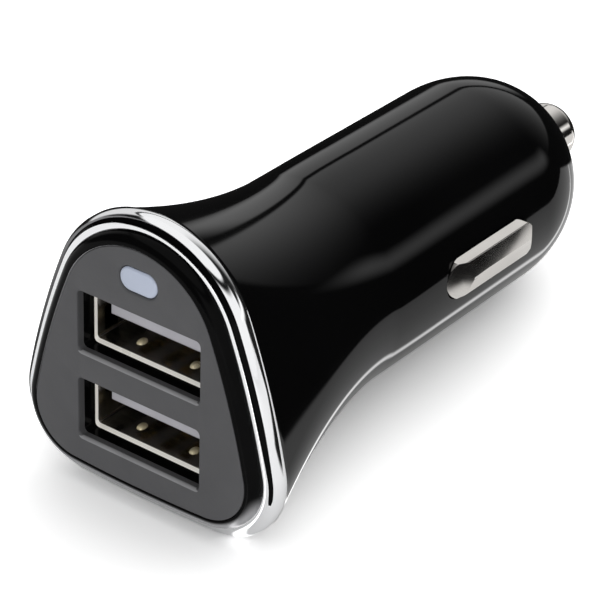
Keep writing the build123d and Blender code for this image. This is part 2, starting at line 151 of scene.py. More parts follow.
def shade(obj, angle):
    obj.data.shade_smooth()
    obj.data.set_sharp_from_angle(angle=math.radians(angle))


def skin(rings, closed=False):
    # quads between loops of equal length
    n = len(rings[0])
    verts = [p for ring in rings for p in ring]
    faces = []
    last = len(rings) if closed else len(rings) - 1
    for i in range(last):
        a, b = i * n, ((i + 1) % len(rings)) * n
        for k in range(n):
            faces.append((a + k, a + (k + 1) % n, b + (k + 1) % n, b + k))
    return verts, faces


def cap(verts, faces, ringStart, n):
    faces.append(tuple(range(ringStart, ringStart + n)))


def addTo(verts, faces, more):
    # add the points and faces of one more form; gives the place of its first point
    base = len(verts)
    verts += more[0]
    faces += [tuple(base + i for i in face) for face in more[1]]
    return base


def applied(obj):
    # bake the modifiers into the mesh
    deps = bpy.context.evaluated_depsgraph_get()
    me = bpy.data.meshes.new_from_object(obj.evaluated_get(deps))
    obj.modifiers.clear()
    obj.data = me


def roundedRect(width, height, radius, perCorner=8):
    pts = []
    for cx, cz, start in (
        (width / 2 - radius, height / 2 - radius, 0),
        (-width / 2 + radius, height / 2 - radius, 90),
        (-width / 2 + radius, -height / 2 + radius, 180),
        (width / 2 - radius, -height / 2 + radius, 270),
    ):
        for k in range(perCorner + 1):
            a = math.radians(start + 90 * k / perCorner)
            pts.append((cx + radius * math.cos(a), cz + radius * math.sin(a)))
    return pts


def roundedPolygon(corners, perCorner=12):
    # corners as x, y, radius; each is cut back to its tangent points and joined by an arc
    pts = []
    count = len(corners)
    for i, (x, y, radius) in enumerate(corners):
        here = Vector((x, y))
        if radius == 0:
            pts.append((x, y))
            continue
        before = (Vector(corners[i - 1][:2]) - here).normalized()
        after = (Vector(corners[(i + 1) % count][:2]) - here).normalized()
        half = before.angle(after) / 2
        middle = here + (before + after).normalized() * (radius / math.sin(half))
        first = here + before * (radius / math.tan(half)) - middle
        last = here + after * (radius / math.tan(half)) - middle
        turn = first.angle_signed(last)
        for k in range(perCorner + 1):
            a = -turn * k / perCorner
            c, sn = math.cos(a), math.sin(a)
            pts.append((middle.x + first.x * c - first.y * sn, middle.y + first.x * sn + first.y * c))
    return pts


def prism(name, loop, place, low, high):
    # closed block between two flat ends; place puts a loop point at a height along the block
    rings = [[place(a, b, h) for a, b in loop] for h in (low, high)]
    verts, faces = skin(rings)
    cap(verts, faces, 0, len(loop))
    cap(verts, faces, len(loop), len(loop))
    me = bpy.data.meshes.new(name)
    me.from_pydata([(x * mm, y * mm, z * mm) for x, y, z in verts], [], faces)
    bm = bmesh.new()
    bm.from_mesh(me)
    bmesh.ops.recalc_face_normals(bm, faces=bm.faces)
    bm.to_mesh(me)
    bm.free()
    obj = bpy.data.objects.new(name, me)
    scene.collection.objects.link(obj)
    return obj


def combine(obj, other, how):
    mod = obj.modifiers.new(how, "BOOLEAN")
    mod.object = other
    mod.operation = how
    mod.solver = "EXACT"
    applied(obj)
    bpy.data.objects.remove(other)


# most of a noise lies between these values, so colours and gloss are spread over them
noiseSpan = (0.3, 0.7)
noiseDetail, grainDetail = 4.0, 2.0


def nodeMaterial(name):
    mat = bpy.data.materials.new(name)
    mat.use_nodes = True
    tree = mat.node_tree
    return mat, tree, tree.nodes["Principled BSDF"]


def noiseNode(tree, scale, detail, stretch=(1, 1, 1)):
    coord = tree.nodes.new("ShaderNodeTexCoord")
    place = tree.nodes.new("ShaderNodeMapping")
    place.inputs["Scale"].default_value = stretch
    noise = tree.nodes.new("ShaderNodeTexNoise")
    noise.inputs["Scale"].default_value = scale
    noise.inputs["Detail"].default_value = detail
    tree.links.new(coord.outputs["Object"], place.inputs["Vector"])
    tree.links.new(place.outputs["Vector"], noise.inputs["Vector"])
    return noise


def ranged(tree, source, low, high):
    m = tree.nodes.new("ShaderNodeMapRange")
    m.inputs["From Min"].default_value = noiseSpan[0]
    m.inputs["From Max"].default_value = noiseSpan[1]
    m.inputs["To Min"].default_value = low
    m.inputs["To Max"].default_value = high
    tree.links.new(source, m.inputs["Value"])
    return m.outputs["Result"]


def colourRamp(tree, source, dark, light):
    ramp = tree.nodes.new("ShaderNodeValToRGB")
    for element, place, colour in zip(ramp.color_ramp.elements, noiseSpan, (dark, light)):
        element.position = place
        element.color = (*colour, 1)
    tree.links.new(source, ramp.inputs["Fac"])
    return ramp.outputs["Color"]


def bump(tree, shader, height, strength, distance):
    b = tree.nodes.new("ShaderNodeBump")
    b.inputs["Strength"].default_value = strength
    b.inputs["Distance"].default_value = distance
    tree.links.new(height, b.inputs["Height"])
    tree.links.new(b.outputs["Normal"], shader.inputs["Normal"])


def mathNode(tree, op, a, b=None, c=None):
    n = tree.nodes.new("ShaderNodeMath")
    n.operation = op
    for socket, value in zip(n.inputs, (a, b, c)):
        if value is None:
            continue
        if isinstance(value, (int, float)):
            socket.default_value = value
        else:
            tree.links.new(value, socket)
    return n.outputs[0]


def step(tree, value, low, high, start=0.0, end=1.0):
    # smooth change from start to end while value goes from low to high
    n = tree.nodes.new("ShaderNodeMapRange")
    n.interpolation_type = "SMOOTHSTEP"
    n.inputs["From Min"].default_value = low
    n.inputs["From Max"].default_value = high
    n.inputs["To Min"].default_value = start
    n.inputs["To Max"].default_value = end
    tree.links.new(value, n.inputs["Value"])
    return n.outputs["Result"]


def times(tree, *parts):
    out = parts[0]
    for part in parts[1:]:
        out = mathNode(tree, "MULTIPLY", out, part)
    return out


def finish(name, dark, light, scale, rough, metallic=0.0, grain=None, stretch=(1, 1, 1), **sockets):
    # one finish: colour and roughness vary slightly over the piece, in a noise of that scale, with an
    # optional fine grain
    mat, tree, shader = nodeMaterial(name)
    noise = noiseNode(tree, scale, noiseDetail, stretch)
    tone = colourRamp(tree, noise.outputs["Fac"], dark, light)
    tree.links.new(tone, shader.inputs["Base Color"])
    tree.links.new(ranged(tree, noise.outputs["Fac"], *rough), shader.inputs["Roughness"])
    shader.inputs["Metallic"].default_value = metallic
    for socket, value in sockets.items():
        shader.inputs[socket].default_value = value
    if grain:
        grainScale, strength, distance = grain
        fine = noiseNode(tree, grainScale, grainDetail, stretch)
        bump(tree, shader, fine.outputs["Fac"], strength, distance)
    return mat


def paintFloorReflection(mat, colour, metal, full=-0.4, none=-0.05):
    # painted reflection: faces turned to the floor are painted pale, as bright as the floor they would
    # mirror; full and none say how far their normals point down
    tree = mat.node_tree
    shader = tree.nodes["Principled BSDF"]
    geometry = tree.nodes.new("ShaderNodeNewGeometry")
    split = tree.nodes.new("ShaderNodeSeparateXYZ")
    tree.links.new(geometry.outputs["Normal"], split.inputs["Vector"])
    share = step(tree, split.outputs["Z"], full, none, 1, 0)
    mix = tree.nodes.new("ShaderNodeMix")
    mix.data_type = "RGBA"  # the colours are inputs 6 and 7, their mix is output 2
    tree.links.new(share, mix.inputs[0])
    tree.links.new(shader.inputs["Base Color"].links[0].from_socket, mix.inputs[6])
    mix.inputs[7].default_value = (*colour, 1)
    tree.links.new(mix.outputs[2], shader.inputs["Base Color"])
    tree.links.new(mathNode(tree, "MULTIPLY", share, metal), shader.inputs["Metallic"])


# finishes: darkest and lightest colour, noise scale, roughness, metal; some below carry painted highlights,
# glints or shade, as noted
pianoBlack = finish(
    "pianoBlack", (0.0014, 0.0014, 0.0015), (0.002, 0.002, 0.0021), 60, (0.05, 0.075), IOR=1.27
)
rimBlack = finish(
    "rimBlack", (0.0016, 0.0016, 0.0017), (0.0024, 0.0024, 0.0025), 300, (0.12, 0.18), IOR=1.12
)
# painted reflection of the floor on the down-turned faces of the rim and of the ring's groove
paintFloorReflection(rimBlack, (0.36, 0.36, 0.37), 0.3)
# painted highlight: near-white, barely metallic steel for the shells' lips, where the light catches them
lipHighlight = finish("lipHighlight", (0.94, 0.91, 0.84), (0.98, 0.95, 0.89), 500, (0.25, 0.4), 0.1)
chrome = finish("chrome", (0.86, 0.865, 0.875), (0.9, 0.905, 0.915), 90, (0.05, 0.09), 1.0)
satinGrey = finish(
    "satinGrey", (0.07, 0.07, 0.0735), (0.078, 0.078, 0.0815), 400, (0.42, 0.5),
    grain=(2600, 0.12, 0.0001), IOR=1.3,
)
# painted highlight: lighter grey for the broken lower edges of the ports
edgeHighlight = finish("edgeHighlight", (0.19, 0.19, 0.195), (0.22, 0.22, 0.225), 400, (0.4, 0.5))
milkyWindow = finish("milkyWindow", (0.395, 0.436, 0.533), (0.44, 0.484, 0.59), 220, (0.18, 0.28))
# painted shade: shell steel darker than its own tone, so the inside of the sockets reads dark
shadedShellSteel = finish(
    "shadedShellSteel", (0.46, 0.43, 0.38), (0.56, 0.53, 0.47), 300, (0.16, 0.26), 1.0, stretch=(1, 6, 1)
)
socketPlastic = finish("socketPlastic", (0.35, 0.345, 0.37), (0.41, 0.405, 0.435), 350, (0.38, 0.5))
# painted glint: bright gold-tinted half-metal for the spring bumps, which are shell steel
bumpGlint = finish("bumpGlint", (0.9, 0.78, 0.5), (0.98, 0.88, 0.62), 500, (0.2, 0.3), 0.5)
goldContact = finish("goldContact", (0.72, 0.5, 0.17), (0.86, 0.62, 0.26), 500, (0.18, 0.3), 1.0)
nickel = finish("nickel", (0.66, 0.635, 0.605), (0.72, 0.695, 0.665), 250, (0.07, 0.13), 1.0)
springSteel = finish("springSteel", (0.36, 0.36, 0.37), (0.5, 0.5, 0.51), 600, (0.25, 0.4), 1.0)
tinnedBrass = finish("tinnedBrass", (0.55, 0.46, 0.28), (0.68, 0.6, 0.42), 400, (0.25, 0.4), 1.0)
boardGreen = finish("boardGreen", (0.012, 0.09, 0.035), (0.02, 0.13, 0.05), 500, (0.3, 0.45))
ferrite = finish(
    "ferrite", (0.03, 0.03, 0.032), (0.06, 0.06, 0.06), 900, (0.6, 0.75), grain=(3000, 0.3, 0.0001)
)
canSleeve = finish("canSleeve", (0.02, 0.02, 0.03), (0.05, 0.05, 0.07), 300, (0.25, 0.4))
chipResin = finish(
    "chipResin", (0.014, 0.014, 0.014), (0.03, 0.03, 0.03), 900, (0.5, 0.65), grain=(2500, 0.2, 0.0001)
)
sleevePlastic = finish("sleevePlastic", (0.08, 0.08, 0.08), (0.12, 0.12, 0.12), 400, (0.45, 0.6))
lampResin = finish("lampResin", (0.55, 0.6, 0.68), (0.68, 0.74, 0.82), 400, (0.08, 0.15))
print("materials ready")


def wear(obj, *mats):
    if obj.data.materials:
        obj.data.materials.clear()
    for mat in mats:
        obj.data.materials.append(mat)


cadFinish = {
    "usb_insulator_upper": socketPlastic,
    "usb_insulator_lower": socketPlastic,
    "usb_contacts_upper": goldContact,
    "usb_contacts_lower": goldContact,
    "status_lamp": lampResin,
    "circuit_board": boardGreen,
    "choke": ferrite,
    "input_capacitor": canSleeve,
    "output_capacitor": canSleeve,
    "regulator_chip": chipResin,
    "flyback_diode": chipResin,
    "tip_terminal": tinnedBrass,
    "tip_sleeve": sleevePlastic,
    "ground_bracket": tinnedBrass,
}
for nodeName, mat in cadFinish.items():
    wear(nodes[nodeName], mat)

# housing: one skin from the mouth to the nose, through the bore and back along the inside
housingShape = {
    "mouthRound": 0.12, "mouthSteps": 4, "flareSteps": 48, "seatRings": (2, 4),
    "barrelSteps": 29, "noseSteps": 26,
    "boreEdge": 0.08, "seatY": 30.4, "seatRadius": 5.3,  # seat of the tip's flange inside the nose
    "domeY": 23.4, "domeLength": 7.0, "domeGrow": 3.3, "domeSteps": 8, "tubeRadius": 8.7, "innerSteps": 16,
    "slot": (12.7, 4.2, 2.09), "slotPerCorner": 12, "slotAt": (13.2, 0.5), "slotReach": 14,
}


def buildHousing(h):
    rings = []
    y0 = plug["mouthY"]
    for k in range(h["mouthSteps"]):
        a = math.radians(90 * k / h["mouthSteps"])
        inset = h["mouthRound"] * (1 - math.sin(a))
        rings.append(at(bodyLoop(1.0, inset), y0 + h["mouthRound"] * (1 - math.cos(a))))
    start = y0 + h["mouthRound"]
    for k in range(h["flareSteps"] + 1):
        y = start * (1 - k / h["flareSteps"])
        rings.append(at(bodyLoop(flareShare(y), 0), y))
    for y in (*h["seatRings"], plug["seatLength"]):
        rings.append(at(roundLoop(plug["barrelRadius"]), y))
    steps = h["barrelSteps"]
    for k in range(1, steps + 1):
        y = plug["seatLength"] + (plug["barrelLength"] - plug["seatLength"]) * k / steps
        r = plug["barrelRadius"] + (plug["noseRadius"] - plug["barrelRadius"]) * k / steps
        rings.append(at(roundLoop(r), y))
    wide = plug["noseRadius"] - plug["noseFlatRadius"]
    long = plug["noseEndY"] - plug["barrelLength"]
    for k in range(1, h["noseSteps"] + 1):
        a = math.radians(90 * k / h["noseSteps"])
        r = plug["noseFlatRadius"] + wide * math.cos(a)
        rings.append(at(roundLoop(r), plug["barrelLength"] + long * math.sin(a)))
    rings.append(at(roundLoop(plug["boreRadius"] + h["boreEdge"]), plug["noseEndY"]))
    rings.append(at(roundLoop(plug["boreRadius"]), plug["noseEndY"] - h["boreEdge"]))
    rings.append(at(roundLoop(plug["boreRadius"]), h["seatY"]))
    rings.append(at(roundLoop(h["seatRadius"]), h["seatY"]))
    steps = h["domeSteps"]
    for k in range(steps):
        a = math.radians(90 * (steps - k - 1) / steps)
        r = h["seatRadius"] + h["domeGrow"] * math.cos(a)
        rings.append(at(roundLoop(r), h["domeY"] + h["domeLength"] * math.sin(a)))
    rings.append(at(roundLoop(h["tubeRadius"]), 0))
    for k in range(1, h["innerSteps"] + 1):
        y = y0 * k / h["innerSteps"]
        rings.append(at(bodyLoop(flareShare(y), plug["wall"]), y))
    return skin(rings, closed=True)


housing = meshFrom("housing_shell", *buildHousing(housingShape), "plug", "housing", "gloss_black", smooth=40)
slotY, slotZ = housingShape["slotAt"]
slotReach = housingShape["slotReach"]
slotLoop = roundedRect(*housingShape["slot"], housingShape["slotPerCorner"])
slots = prism("slots", slotLoop, lambda a, b, h: (h, slotY + a, slotZ + b), -slotReach, slotReach)
combine(housing, slots, "DIFFERENCE")
shade(housing, 40)
wear(housing, pianoBlack)
print("housing done:", len(housing.data.polygons), "faces")

# chrome ring: quarter-round bead; the groove along it stays black and closes at the lower corners
ringShape = {
    "inner": 0.85, "outer": 2.42, "front": 1.0, "back": 2.72, "round": 1.2, "backEdge": 0.05,
    "innerSteps": 8, "outerSteps": 12,  # rows of the bead on either side of the groove
    "groove": (20, 48), "grooveDepth": 0.22, "grooveSag": 1.1,
    "grooveEnd": -6.2, "grooveTaper": (0.6, 6.0, 0.4),
    "leastGroove": 0.02, "leastBlack": 0.05,  # shares of its width: the least, and the least that is black
}


def buildRing(r):
    flat = r["outer"] - r["round"]
    low, high = r["groove"]
    middle, half = (low + high) / 2, (high - low) / 2

    def onBead(angle, sunk, width):
        # point of the bead profile; the groove narrows and fills up as its width goes to 0
        a = math.radians(angle)
        radius = r["round"] - sunk * width
        return flat + radius * math.sin(a), r["front"] + r["round"] - radius * math.cos(a)

    least, along, tail = r["grooveTaper"]
    share = []
    for x, z in faceLoop(0):
        past = max(z - r["grooveEnd"], 0)
        share.append((least + (1 - least) * min(past / along, 1)) * math.sqrt(min(past / tail, 1)))
    rows = []
    n = len(share)
    before, after = r["innerSteps"], r["outerSteps"]
    for k in range(before):
        rows.append([onBead(low * k / before, 0, 1)] * n)
    wall, bed = r["grooveDepth"], r["grooveDepth"] * r["grooveSag"]
    groove = [(-1, 0), (-0.92, wall), (-0.3, bed), (0.3, bed), (0.92, wall), (1, 0)]  # across, depth
    for edge, sunk in groove:
        rows.append([onBead(middle + half * edge * max(w, r["leastGroove"]), sunk, w) for w in share])
    for k in range(1, after + 1):
        rows.append([onBead(high + (90 - high) * k / after, 0, 1)] * n)
    for point in (
        (r["outer"], r["back"] - r["backEdge"]), (r["outer"] - r["backEdge"], r["back"]),
        (r["inner"], r["back"]), (r["inner"], r["front"]),
    ):
        rows.append([point] * n)
    rings = []
    for row in rows:
        ring = []
        for k, (grow, depth) in enumerate(row):
            x, z = faceLoop(grow)[k]
            ring.append((x, plug["faceY"] + depth, z))
        rings.append(ring)
    verts, faces = skin(rings, closed=True)
    sunkRows = range(before, before + len(groove) - 1)
    sunkFaces = [i * n + k for i in sunkRows for k in range(n) if share[k] > r["leastBlack"]]
    return verts, faces, sunkFaces


verts, faces, sunkFaces = buildRing(ringShape)
trimRing = meshFrom(
    "trim_bead", verts, faces, "plug", "trim_ring", "chrome_trim", smooth=45, second=sunkFaces
)
wear(trimRing, chrome, rimBlack)


def plate(outer, holes, frontY, p, holeEdge):
    # flat plate with rounded front edges; outer and holes give a loop for an offset
    verts, faces, fronts, backs = [], [], [], []
    steps = p["edgeSteps"]
    for loopAt, e, sign in [(outer, p["edge"], -1)] + [(h, holeEdge, 1) for h in holes]:
        rings = []
        for k in range(steps + 1):
            a = math.radians(90 * k / steps)
            rings.append(at(loopAt(sign * e * (1 - math.sin(a))), frontY + e * (1 - math.cos(a))))
        rings.append(at(loopAt(0), frontY + p["thick"]))
        base = addTo(verts, faces, skin(rings))
        n = len(rings[0])
        fronts.append(range(base, base + n))
        backs.append(range(len(verts) - n, len(verts)))
    return verts, faces, fronts, backs


def fillFlat(verts, faces, groups):
    # triangles between loops that lie in one plane
    for loops in groups:
        bm = bmesh.new()
        index = {}
        edges = []
        for loop in loops:
            made = []
            for i in loop:
                made.append(bm.verts.new(verts[i]))
                index[made[-1]] = i
            for a, b in zip(made, made[1:] + made[:1]):
                edges.append(bm.edges.new((a, b)))
        bmesh.ops.triangle_fill(bm, use_beauty=True, edges=edges)
        for face in bm.faces:
            faces.append(tuple(index[v] for v in face.verts))
        bm.free()


# face inlay with its two port openings and the lamp hole
inlay = {"thick": 0.8, "edge": 0.06, "edgeSteps": 5}
ports = {
    "width": 13.2, "height": 5.82, "corner": 0.45, "upperZ": 4.2, "lowerZ": -4.3,
    "edge": 0.26, "thinEdge": 0.3, "edgeReach": 0.3, "slack": 0.01,
}
window = {
    "width": 3.95, "height": 2.2, "z": 10.25, "gap": 0.05, "perCorner": 12, "endFlat": 0.001,
    "dome": [(-0.9, 0.0), (-0.5, 0.005), (-0.2, 0.02), (-0.08, 0.06), (0, 0.15)],  # offset and depth
    "flange": 0.45, "flangeY": (2.7, 3.4),
}


def portHole(z):
    def loopAt(off):
        thin = off * ports["thinEdge"]  # the lower edge is broken more than the others
        loop = roundedRect(ports["width"] + 2 * thin, ports["height"] + thin + off, ports["corner"] + thin)
        return [(x, z + h - (off - thin) / 2) for x, h in loop]
    return loopAt


def windowHole(extra):
    def loopAt(off):
        grow = 2 * (extra + off)
        wide, high = window["width"] + grow, window["height"] + grow
        loop = roundedRect(wide, high, high / 2 - window["endFlat"], window["perCorner"])
        return [(x, window["z"] + h) for x, h in loop]
    return loopAt


holes = [portHole(ports["upperZ"]), portHole(ports["lowerZ"]), windowHole(window["gap"])]
faceY = plug["faceY"]
verts, faces, fronts, backs = plate(faceLoop, holes, faceY, inlay, ports["edge"])


def onLowerEdge(face):
    # broken edge below a port; its faces get a painted highlight, a lighter grey than the plate
    points = [verts[i] for i in face]
    near = all(abs(x) < ports["width"] / 2 and y < faceY + ports["edgeReach"] for x, y, z in points)
    for middle in (ports["upperZ"], ports["lowerZ"]):
        low = middle - ports["height"] / 2
        if near and all(low - ports["edgeReach"] < z < low + ports["slack"] for x, y, z in points):
            return True
    return False


# faces of the lower port edges, which wear the painted highlight
highlightFaces = [i for i, face in enumerate(faces) if onLowerEdge(face)]
fillFlat(verts, faces, [fronts, backs])
facePlate = meshFrom(
    "face_inlay", verts, faces, "plug", "face_plate", "grey_satin", smooth=50, second=highlightFaces
)
wear(facePlate, satinGrey, edgeHighlight)

# front cover: rim round the inlay and the floor behind it, down to the skirt
coverShape = {
    "recess": 0.05, "recessEdge": 0.04, "rimGrow": 1.1, "rimRound": 0.95, "rimDepth": 1.0, "rimSteps": 16,
    "neckGrow": 0.8, "floorFront": 0.8, "floorBack": 2.7, "floorInset": 0.4, "mouth": 2.72,
    "skirtGap": 0.05, "skirtWall": 1.2, "skirt": (3.5, 4.5, 5.72),
}


def buildRim(c):
    edge, steps = c["recessEdge"], c["rimSteps"]
    profile = [(c["recess"], c["floorFront"]), (c["recess"], edge), (c["recess"] + edge, 0.0)]
    for k in range(steps + 1):
        a = math.radians(90 * k / steps)
        grow = c["rimGrow"] - c["rimRound"] * (1 - math.sin(a))
        profile.append((grow, c["rimRound"] * (1 - math.cos(a))))
    profile += [(c["rimGrow"], c["rimDepth"]), (c["neckGrow"], c["rimDepth"]), (c["neckGrow"], c["mouth"])]
    rings = [at(faceLoop(grow), faceY + depth) for grow, depth in profile]
    outside = plug["wall"] + c["skirtGap"]
    for inset, depths in ((outside, c["skirt"]), (outside + c["skirtWall"], c["skirt"][::-1])):
        for depth in depths:
            y = faceY + depth
            rings.append(at(bodyLoop(flareShare(y), inset), y))
    rings.append(at(faceLoop(-c["floorInset"]), faceY + c["floorBack"]))
    return rings


rimRings = buildRim(coverShape)
verts, faces = skin(rimRings)
n = len(rimRings[0])
tunnelFront, tunnelBack = [range(0, n)], [range(len(verts) - n, len(verts))]
for loopAt in holes:
    rings = [at(loopAt(0), faceY + coverShape[end]) for end in ("floorFront", "floorBack")]
    base = addTo(verts, faces, skin(rings))
    n = len(rings[0])
    tunnelFront.append(range(base, base + n))
    tunnelBack.append(range(base + n, base + 2 * n))
fillFlat(verts, faces, [tunnelFront, tunnelBack])
frontCover = meshFrom("front_frame", verts, faces, "plug", "front_cover", "gloss_black", smooth=40)
wear(frontCover, rimBlack)

# lamp window: oblong light guide with a slightly rounded face and a flange behind the cover
flangeFront, flangeBack = window["flangeY"]
profile = window["dome"] + [
    (0, flangeFront), (window["flange"], flangeFront), (window["flange"], flangeBack),
    (window["dome"][0][0], flangeBack),
]
rings = [at(windowHole(0)(off), faceY + depth) for off, depth in profile]
verts, faces = skin(rings)
n = len(rings[0])
cap(verts, faces, 0, n)
cap(verts, faces, len(verts) - n, n)
lampWindow = meshFrom("window_guide", verts, faces, "plug", "lamp_window", "milky_window", smooth=40)
wear(lampWindow, milkyWindow)
print("face done")

# USB shells: folded steel with a rounded lip, spring bumps on the floor and feet on the board;
# a bump is rings of radius and height. The lip wears a painted highlight, the bumps a painted glint, the rest
# a steel painted darker as shade
shellShape = {
    "width": 13.1, "height": 5.72, "corner": 0.6, "innerCorner": 0.15, "perCorner": 10, "wall": 0.3,
    "lip": 0.28, "sideLip": 0.12, "lipStep": 0.02, "lipRun": 0.05, "frontY": -21.1, "backY": -7.3,
    "bumps": [(0.42, -0.05), (0.4, 0.0), (0.36, 0.12), (0.27, 0.22), (0.15, 0.28), (0.02, 0.3)],
    "bumpX": 2.9, "bumpY": -19.0, "bumpLong": 1.5, "bumpSides": 24,
    "feetX": 6.4, "feetY": (-19.1, -9.3), "foot": (0.3, 1.6), "boardZ": {"upper": 0.75, "lower": -0.85},
}


def boxBetween(low, high):
    (x0, y0, z0), (x1, y1, z1) = low, high
    verts = [(x, y, z) for z in (z0, z1) for x, y in ((x0, y0), (x1, y0), (x1, y1), (x0, y1))]
    return verts, [(0, 1, 2, 3), (4, 5, 6, 7), (0, 1, 5, 4), (1, 2, 6, 5), (2, 3, 7, 6), (3, 0, 4, 7)]


def buildShell(h, z, boardZ):
    def loopAt(insetX, insetZ, y):
        r = max(h["corner"] - insetX, h["innerCorner"])
        loop = roundedRect(h["width"] - 2 * insetX, h["height"] - 2 * insetZ, r, h["perCorner"])
        return [(x, y, z + b) for x, b in loop]

    wall, lip, front = h["wall"], h["lip"], h["frontY"]
    profile = [
        (0, 0, h["backY"]),
        (0, 0, front),
        (wall - h["sideLip"], wall - lip, front),
        (wall - h["lipStep"], wall - h["lipStep"], front + lip),
        (wall, wall, front + lip + h["lipRun"]),
        (wall, wall, h["backY"]),
    ]
    verts, faces = skin([loopAt(*point) for point in profile], closed=True)
    n = len(verts) // len(profile)
    # the lip faces wear the painted highlight; the bumps, added below, the painted glint
    highlightFaces, glintFaces = range(2 * n, 3 * n), []
    floorZ = z - h["height"] / 2 + wall
    sides = h["bumpSides"]
    half, long = h["foot"][0] / 2, h["foot"][1] / 2
    for side in (-1, 1):
        rings = []
        for radius, up in h["bumps"]:
            ring = []
            for k in range(sides):
                t = math.tau * k / sides
                x = side * h["bumpX"] + radius * math.cos(t)
                ring.append((x, h["bumpY"] + h["bumpLong"] * radius * math.sin(t), floorZ + up))
            rings.append(ring)
        v, f = skin(rings)
        cap(v, f, 0, sides)
        cap(v, f, len(v) - sides, sides)
        # bump faces wear the painted glint
        glintFaces += range(len(faces), len(faces) + len(f))
        addTo(verts, faces, (v, f))
        for y in h["feetY"]:
            low = (side * h["feetX"] - half, y - long, min(boardZ, z))
            high = (side * h["feetX"] + half, y + long, max(boardZ, z))
            addTo(verts, faces, boxBetween(low, high))
    return verts, faces, highlightFaces, glintFaces


for place, z in (("upper", ports["upperZ"]), ("lower", ports["lowerZ"])):
    verts, faces, highlightFaces, glintFaces = buildShell(shellShape, z, shellShape["boardZ"][place])
    shell = meshFrom(
        f"shell_{place}", verts, faces, "plug", f"usb_shell_{place}", "shell_steel",
        smooth=40, second=highlightFaces, third=glintFaces,
    )
    wear(shell, shadedShellSteel, lipHighlight, bumpGlint)
print("sockets done")

# tip contact: turned pin with a rounded end and a flange inside the nose
tipShape = {
    "radius": 2.95, "end": 39.3, "round": 1.5, "roundSteps": 10,
    "flangeRadius": 4.3, "flange": (29.15, 30.35),
    "capRadius": 0.02,  # the end faces close on a ring this small
}


def buildTip(t):
    back, front = t["flange"]
    steps = t["roundSteps"]
    profile = [(t["capRadius"], back), (t["flangeRadius"], back)]
    profile += [(t["flangeRadius"], front), (t["radius"], front)]
    for k in range(steps + 1):
        a = math.radians(90 * k / steps)
        r = t["radius"] - t["round"] * (1 - math.cos(a))
        profile.append((r, t["end"] - t["round"] * (1 - math.sin(a))))
    profile.append((t["capRadius"], t["end"]))
    rings = [at(roundLoop(r), y) for r, y in profile]
    verts, faces = skin(rings)
    n = len(rings[0])
    cap(verts, faces, 0, n)
    cap(verts, faces, len(verts) - n, n)
    return verts, faces


tipContact = meshFrom("tip_pin", *buildTip(tipShape), "tip", "tip_contact", "nickel", smooth=35)
wear(tipContact, nickel)

# side shoes: pressed metal with sloping walls, a soft ridge and a ramp at each end
shoeShape = {
    "length": 12.4, "height": 3.9, "corner": 1.94, "perCorner": 14, "midY": 13.2, "midZ": 0.5,
    "crown": 11.1, "ridgeZ": 0.25, "ridgeRise": 0.3, "ridgeRound": 1.0,
    "slopeX": 9.8, "wallLean": 0.3, "edgeRound": 0.15,
    "rampFront": 2.9, "rampBack": 0.5, "rampRise": 1.05, "rampRound": 0.4,
    "flangeX": (7.49, 7.99), "flangeMargin": 0.7, "flangePerCorner": 10,
    "crownSpare": 0.2, "cutSpare": 1,  # the blank and the cutting blocks reach this far past the shoe
}


def buildShoe(s, side, place):
    low, high = s["flangeX"]
    frontY, backY = s["midY"] - s["length"] / 2, s["midY"] + s["length"] / 2
    lowZ, highZ = s["midZ"] - s["height"] / 2, s["midZ"] + s["height"] / 2
    crown, edgeX = s["crown"], s["crown"] - s["ridgeRise"]
    margin, spare = s["flangeMargin"], s["cutSpare"]
    plan = roundedRect(s["length"], s["height"], s["corner"], s["perCorner"])
    wide = roundedRect(
        s["length"] + 2 * margin, s["height"] + 2 * margin, s["corner"] + margin, s["flangePerCorner"]
    )
    ramps = roundedPolygon([
        (0, frontY, 0),
        (crown - s["rampRise"], frontY, 0),
        (crown, frontY + s["rampFront"], s["rampRound"]),
        (crown, backY - s["rampBack"], s["rampRound"]),
        (crown - s["rampRise"], backY, 0),
        (0, backY, 0),
    ])
    ridge = roundedPolygon([
        (0, lowZ, 0),
        (s["slopeX"], lowZ, 0),
        (edgeX, lowZ + s["wallLean"], s["edgeRound"]),
        (crown, s["ridgeZ"], s["ridgeRound"]),
        (edgeX, highZ - s["wallLean"], s["edgeRound"]),
        (s["slopeX"], highZ, 0),
        (0, highZ, 0),
    ])

    def outward(a, b, h):
        return side * h, s["midY"] + a, s["midZ"] + b

    shoe = prism(f"shoe_{place}", plan, outward, low, crown + s["crownSpare"])
    rampBlock = prism("ramps", ramps, lambda a, b, h: (side * a, b, h), lowZ - spare, highZ + spare)
    combine(shoe, rampBlock, "INTERSECT")
    ridgeBlock = prism("ridge", ridge, lambda a, b, h: (side * a, h, b), frontY - spare, backY + spare)
    combine(shoe, ridgeBlock, "INTERSECT")
    combine(shoe, prism("flange", wide, outward, low, high), "UNION")
    shade(shoe, 32)
    shoe.modifiers.new("flats", "WEIGHTED_NORMAL").keep_sharp = True
    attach(shoe, f"{place}_shoe")
    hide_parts(f"side_contact_{place}")
    return shoe


for place, side in (("left", -1), ("right", 1)):
    wear(buildShoe(shoeShape, side, place), nickel)

# springs behind the contacts: radius, wire, pitch, and the seats they are squeezed between
coils = {
    "tip_spring": {"radius": 3.2, "wire": 0.3, "pitch": 1.9, "seats": (19.6, 29.15), "travel": 3.0},
    "side_spring": {
        "radius": 1.3, "wire": 0.2, "pitch": 1.2, "seats": (4.7, 10.35), "travel": 1.0, "midY": 13.9,
    },
}


